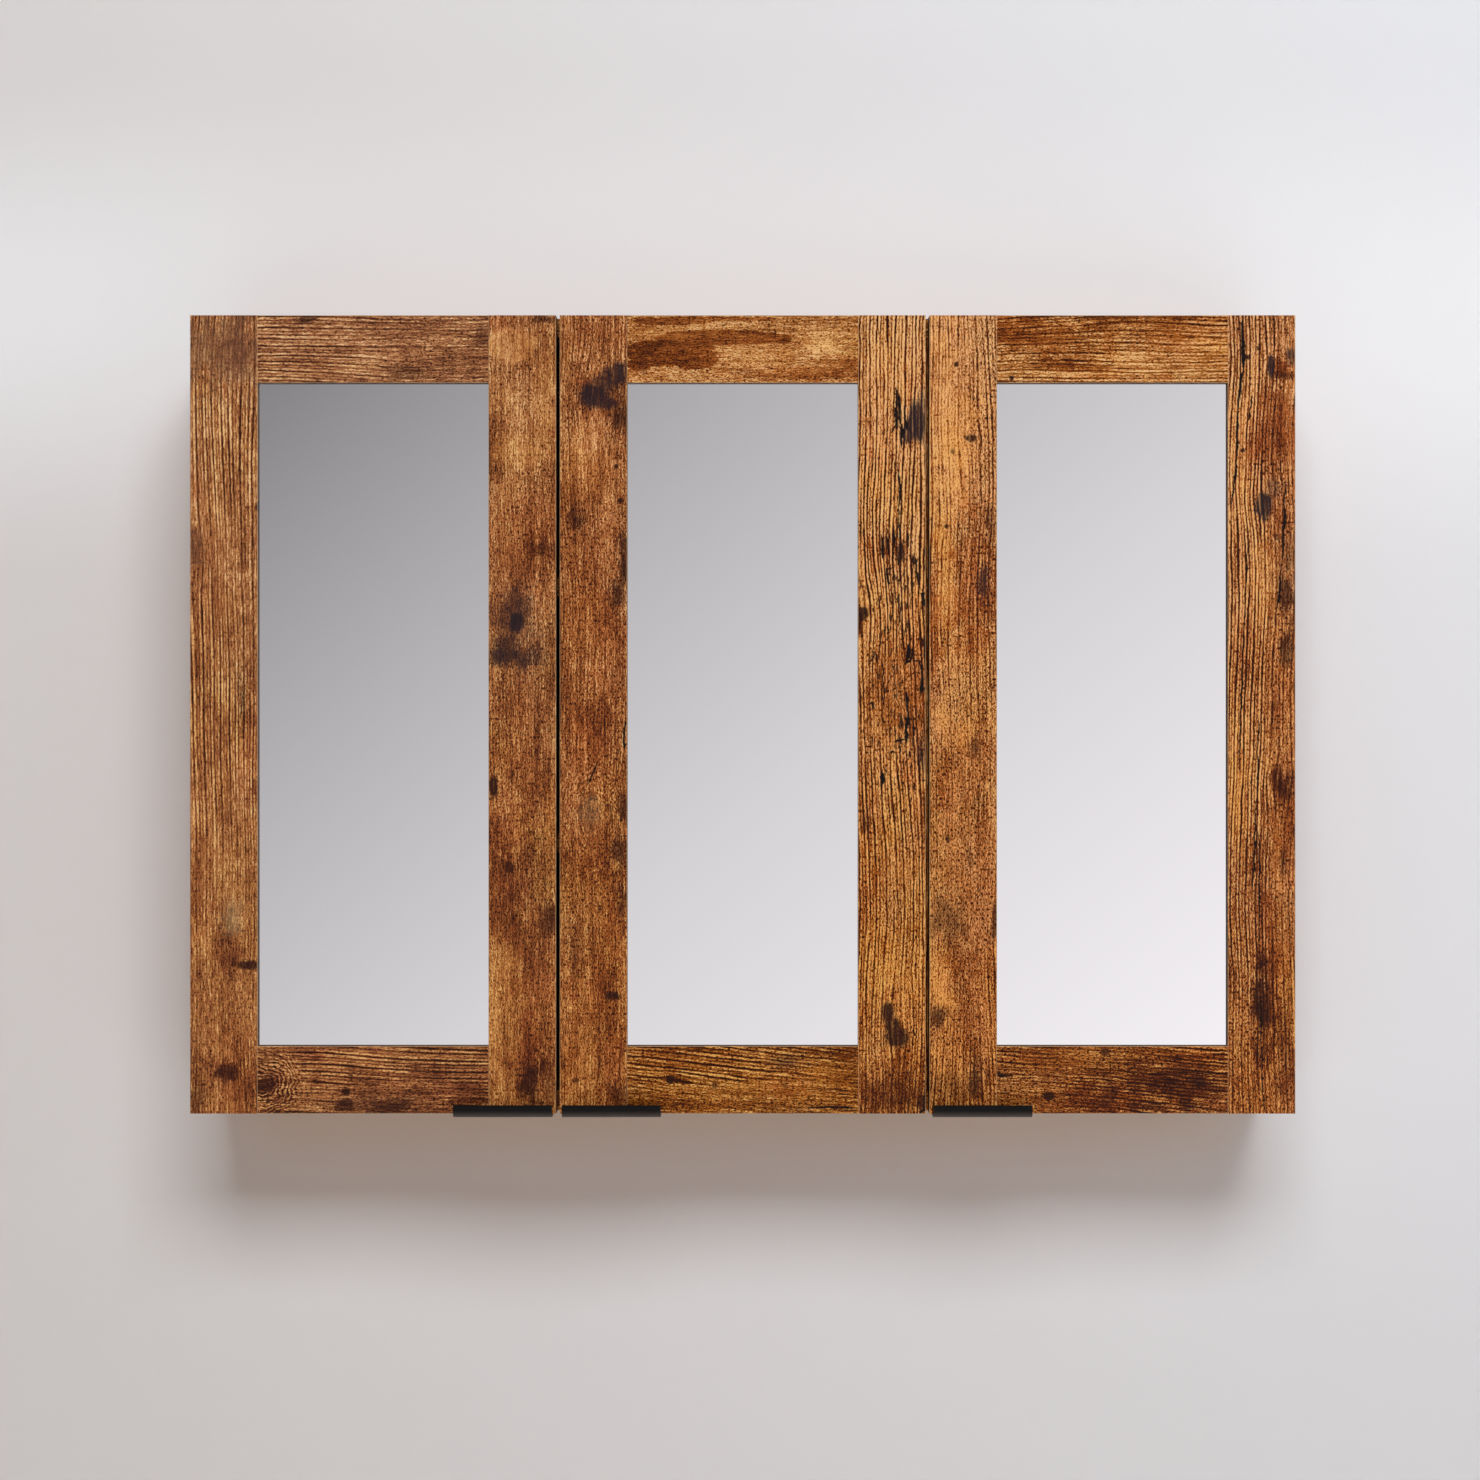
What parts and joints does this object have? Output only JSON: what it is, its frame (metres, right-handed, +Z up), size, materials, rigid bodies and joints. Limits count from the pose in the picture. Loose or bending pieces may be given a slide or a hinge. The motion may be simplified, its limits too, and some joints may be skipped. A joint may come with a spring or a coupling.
{
  "type": "mirror cabinet",
  "caption": "Wall-hung bathroom cabinet with framed mirror doors in rustic wood print, black edge pulls, cup hinges and loose shelves inside.",
  "frame": {"origin": "middle of the back panel's rear face, which lies on the wall", "axes": "+Z up, +X to the right seen from the front, +Y into the wall; the doors face -Y"},
  "size_m": [0.9, 0.164, 0.6518],
  "materials": {
    "door_wood": "rustic wood print laminate, satin",
    "carcass_wood": "rustic wood print laminate, satin",
    "mirror_glass": "silvered float glass",
    "backing_board": "brown hardboard",
    "back_board": "brown hardboard",
    "black_pull": "matt black powder coat",
    "hinge_steel": "nickel-plated sheet steel",
    "screw_steel": "zinc-plated steel",
    "cam_zinc": "die-cast zinc",
    "beech_dowel": "bare beech",
    "clear_bumper": "clear soft plastic"
  },
  "bodies": {
    "carcass": {"arm_screws": "screw_steel", "back_panel": "back_board", "bottom_panel": "carcass_wood", "cam_bolts": "screw_steel", "cam_locks": "cam_zinc", "carcass_dowels": "beech_dowel", "divider_panel": "carcass_wood", "hinge_pins": "hinge_steel", "hinge_plates": "hinge_steel", "left_door_lower_hinge_arm": "hinge_steel", "left_door_upper_hinge_arm": "hinge_steel", "left_lower_shelf": "carcass_wood", "left_side_panel": "carcass_wood", "left_upper_shelf": "carcass_wood", "middle_door_lower_hinge_arm": "hinge_steel", "middle_door_upper_hinge_arm": "hinge_steel", "mounting_rail": "carcass_wood", "plate_screws": "screw_steel", "right_door_lower_hinge_arm": "hinge_steel", "right_door_upper_hinge_arm": "hinge_steel", "right_lower_shelf": "carcass_wood", "right_side_panel": "carcass_wood", "right_upper_shelf": "carcass_wood", "shelf_pins": "screw_steel", "top_panel": "carcass_wood"},
    "left_door": {"left_door_backing": "backing_board", "left_door_bottom_rail": "door_wood", "left_door_bumpers": "clear_bumper", "left_door_dowels": "beech_dowel", "left_door_hinge_cups": "hinge_steel", "left_door_hinge_stile": "door_wood", "left_door_mirror": "mirror_glass", "left_door_pull": "black_pull", "left_door_pull_stile": "door_wood", "left_door_screws": "screw_steel", "left_door_top_rail": "door_wood"},
    "middle_door": {"middle_door_backing": "backing_board", "middle_door_bottom_rail": "door_wood", "middle_door_bumpers": "clear_bumper", "middle_door_dowels": "beech_dowel", "middle_door_hinge_cups": "hinge_steel", "middle_door_hinge_stile": "door_wood", "middle_door_mirror": "mirror_glass", "middle_door_pull": "black_pull", "middle_door_pull_stile": "door_wood", "middle_door_screws": "screw_steel", "middle_door_top_rail": "door_wood"},
    "right_door": {"right_door_backing": "backing_board", "right_door_bottom_rail": "door_wood", "right_door_bumpers": "clear_bumper", "right_door_dowels": "beech_dowel", "right_door_hinge_cups": "hinge_steel", "right_door_hinge_stile": "door_wood", "right_door_mirror": "mirror_glass", "right_door_pull": "black_pull", "right_door_pull_stile": "door_wood", "right_door_screws": "screw_steel", "right_door_top_rail": "door_wood"}
  },
  "joints": [
    {"name": "left_door_swing", "type": "hinge", "parent": "carcass", "child": "left_door", "pos_m": [-0.443, -0.1439, 0], "axis": [0, 0, -1], "range_deg": [0, 95]},
    {"name": "middle_door_swing", "type": "hinge", "parent": "carcass", "child": "middle_door", "pos_m": [0.142, -0.1439, 0], "axis": [0, 0, 1], "range_deg": [0, 95]},
    {"name": "right_door_swing", "type": "hinge", "parent": "carcass", "child": "right_door", "pos_m": [0.443, -0.1439, 0], "axis": [0, 0, 1], "range_deg": [0, 95]}
  ]
}
